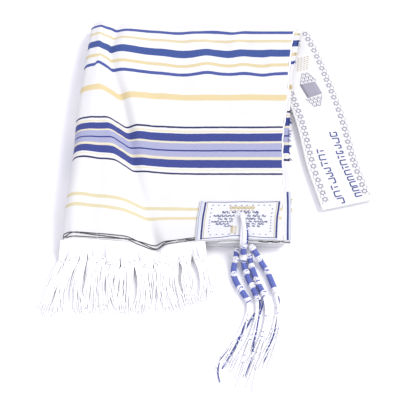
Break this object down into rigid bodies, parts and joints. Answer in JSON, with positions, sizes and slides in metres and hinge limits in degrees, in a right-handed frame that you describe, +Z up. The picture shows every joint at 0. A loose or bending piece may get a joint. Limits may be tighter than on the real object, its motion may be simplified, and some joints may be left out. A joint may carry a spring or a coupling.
{
  "type": "folded tallit prayer shawl",
  "caption": "Striped prayer shawl folded flat, with a puffed left fold, knotted hem fringe, corner patches, wound corner tassels and a neck band fanned out beside it.",
  "frame": {"origin": "on the surface that the folded shawl lies on, under the middle of its box, measured without the corner tassels", "axes": "+Z up; -Y towards the hem with the fringe and the corner tassels; +X towards the side where the neck band fans out"},
  "size_m": [0.4114, 0.5508, 0.044],
  "materials": {
    "shawl_cloth": "matt white plain weave with woven blue, lavender and pale gold stripes",
    "band_ribbon": "satin-faced woven ribbon with grey and blue figuring",
    "patch_cloth": "flecked woven patch with blue side bars",
    "fringe_yarn": "matt twisted white yarn",
    "tassel_blue": "blue thread wound round a white cord",
    "tassel_white": "matt two-ply white string"
  },
  "bodies": {
    "root": {"front_layer": "shawl_cloth", "second_layer": "shawl_cloth", "folded_layers": "shawl_cloth", "neck_fold": "shawl_cloth", "neck_band": "band_ribbon", "corner_patch_front": "patch_cloth", "corner_patch_second": "patch_cloth", "hem_fringe": "fringe_yarn", "tassel_1_wound": "tassel_blue", "tassel_2_wound": "tassel_blue", "tassel_3_wound": "tassel_blue", "tassel_4_wound": "tassel_blue", "tassel_1_strings": "tassel_white", "tassel_2_strings": "tassel_white", "tassel_3_strings": "tassel_white", "tassel_4_strings": "tassel_white"}
  },
  "joints": []
}
